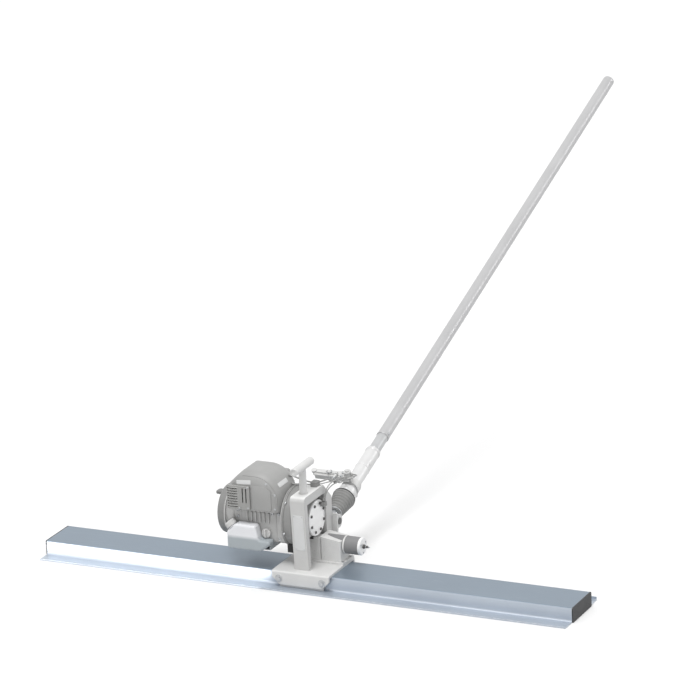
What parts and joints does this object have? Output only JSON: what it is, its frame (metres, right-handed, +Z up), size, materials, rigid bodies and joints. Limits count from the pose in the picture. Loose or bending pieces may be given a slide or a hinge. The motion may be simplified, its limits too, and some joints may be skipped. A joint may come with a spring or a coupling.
{
  "type": "power screed",
  "caption": "Vibrating power screed for wet concrete: long hollow metal blade, clamped head with a small petrol engine and belt-driven exciter, and a long twist pole that tilts the blade.",
  "frame": {"origin": "middle of the flat underside of the blade", "axes": "+X along the blade, +Y back along the pole towards the operator, +Z up"},
  "size_m": [1.838, 2.7003, 1.0136],
  "materials": {
    "blade_metal": "satin extruded",
    "cap_plastic": "matte",
    "light_paint": "satin powder coat",
    "frame_paint": "satin powder coat",
    "zinc": "zinc plated",
    "cover_metal": "machined",
    "dark_steel": "blackened",
    "shaft_steel": "ground",
    "belt_rubber": "matte",
    "casting": "painted",
    "exciter_paint": "satin",
    "engine_alloy": "cast",
    "engine_plastic": "satin moulded",
    "bell_metal": "painted",
    "black_rubber": "matte",
    "guard_metal": "pressed",
    "tank_plastic": "translucent",
    "boot_rubber": "satin",
    "sleeve_metal": "anodised",
    "coupler_metal": "anodised",
    "pole_metal": "anodised",
    "control_metal": "zinc plated",
    "button_plastic": "matte",
    "cable_skin": "satin",
    "bush_plastic": "low friction"
  },
  "bodies": {
    "root": {"blade": "blade_metal", "end_caps": "cap_plastic", "clamp_saddle": "light_paint", "clamp_jaws": "light_paint", "frame_bolts": "zinc", "head_frame": "frame_paint", "lift_handle": "light_paint", "bearing_housing": "engine_alloy", "bearing_cover": "cover_metal", "cover_screws": "dark_steel", "ball_bearings": "shaft_steel", "belt": "belt_rubber", "exciter_pedestal": "casting", "exciter_tube": "exciter_paint", "exciter_end_cap": "cover_metal", "grease_nipple": "dark_steel", "crankcase": "engine_alloy", "clutch_housing": "bell_metal", "rubber_foot": "black_rubber", "cylinder": "engine_alloy", "spark_plug": "zinc", "top_cover": "engine_plastic", "muffler": "dark_steel", "muffler_guard": "guard_metal", "blower_housing": "engine_alloy", "recoil_cover": "engine_plastic", "fuel_tank": "tank_plastic", "carburettor": "engine_alloy", "air_cleaner": "engine_plastic", "tilt_clevis": "light_paint", "pivot_pin": "dark_steel", "throttle_cable": "cable_skin", "stop_wires": "cable_skin", "cable_clips": "black_rubber"},
    "crank_rotor": {"crankshaft": "shaft_steel", "flywheel_fan": "engine_alloy", "clutch_shoes": "dark_steel"},
    "drum_rotor": {"clutch_drum": "shaft_steel", "drive_shaft": "shaft_steel", "drive_pulley": "shaft_steel"},
    "exciter_rotor": {"exciter_shaft": "shaft_steel", "eccentric_weights": "dark_steel", "driven_pulley": "shaft_steel"},
    "reel": {"starter_reel": "bush_plastic"},
    "pull_grip": {"starter_grip": "button_plastic"},
    "filler_cap": {"fuel_cap": "button_plastic"},
    "oil_plug": {"oil_cap": "button_plastic"},
    "tilt_unit": {"tilt_head": "shaft_steel", "boot": "boot_rubber", "collar": "sleeve_metal", "guide_sleeve": "sleeve_metal", "sleeve_bushes": "bush_plastic", "control_bracket": "control_metal", "stop_switch": "button_plastic"},
    "pole_unit": {"coupler_tube": "coupler_metal", "pole": "pole_metal", "pole_cap": "coupler_metal"},
    "button": {"snap_button": "zinc"},
    "lever": {"throttle_lever": "control_metal"},
    "kill_button": {"stop_button": "button_plastic"}
  },
  "joints": [
    {"name": "crank_spin", "type": "hinge", "parent": "root", "child": "crank_rotor", "pos_m": [0, 0.02, 0.203], "axis": [1, 0, 0], "continuous": true},
    {"name": "drum_spin", "type": "hinge", "parent": "root", "child": "drum_rotor", "pos_m": [0, 0.02, 0.203], "axis": [1, 0, 0], "continuous": true},
    {"name": "exciter_spin", "type": "hinge", "parent": "root", "child": "exciter_rotor", "pos_m": [0, 0.055, 0.111], "axis": [1, 0, 0], "continuous": true},
    {"name": "grip_pull", "type": "slide", "parent": "root", "child": "pull_grip", "axis": [-1, 0, 0], "range_m": [0, 0.6], "stiffness_N_per_m": 15, "springref_m": -0.2},
    {"name": "reel_spin", "type": "hinge", "parent": "root", "child": "reel", "pos_m": [0, 0.02, 0.203], "axis": [1, 0, 0], "range_deg": [-5, 1080]},
    {"name": "fuel_cap_turn", "type": "hinge", "parent": "root", "child": "filler_cap", "pos_m": [-0.236, -0.07, 0.1775], "axis": [-0.6449, 0, 0.7643], "range_deg": [0, 720]},
    {"name": "oil_cap_turn", "type": "hinge", "parent": "root", "child": "oil_plug", "pos_m": [-0.127, -0.058, 0.161], "axis": [0, -1, 0], "range_deg": [0, 1080]},
    {"name": "pole_tilt", "type": "hinge", "parent": "root", "child": "tilt_unit", "pos_m": [0, 0.144, 0.151], "axis": [1, 0, 0], "range_deg": [-15, 15], "deforming": ["throttle_cable", "stop_wires"]},
    {"name": "pole_twist", "type": "hinge", "parent": "tilt_unit", "child": "pole_unit", "pos_m": [0, 0.55386, 0.29373], "axis": [0, 0.9444, 0.3289], "range_deg": [-180, 180]},
    {"name": "button_press", "type": "slide", "parent": "pole_unit", "child": "button", "axis": [-0.9397, 0.1125, -0.323], "range_m": [0, 0.003], "stiffness_N_per_m": 800, "springref_m": -0.002},
    {"name": "throttle_turn", "type": "hinge", "parent": "tilt_unit", "child": "lever", "pos_m": [-0.062, 0.28046, 0.25782], "axis": [0, -0.3289, 0.9444], "range_deg": [-30, 25]},
    {"name": "stop_press", "type": "slide", "parent": "tilt_unit", "child": "kill_button", "axis": [0, 0.3289, -0.9444], "range_m": [0, 0.003], "stiffness_N_per_m": 400, "springref_m": -0.002}
  ],
  "couplings": [
    {"joint": "drum_spin", "follows": "crank_spin", "ratio": 1},
    {"joint": "exciter_spin", "follows": "crank_spin", "ratio": 1.3},
    {"joint": "reel_spin", "follows": "grip_pull", "rad_per_m": 30},
    {"joint": "pole_twist", "follows": "pole_tilt", "ratio": 12}
  ]
}
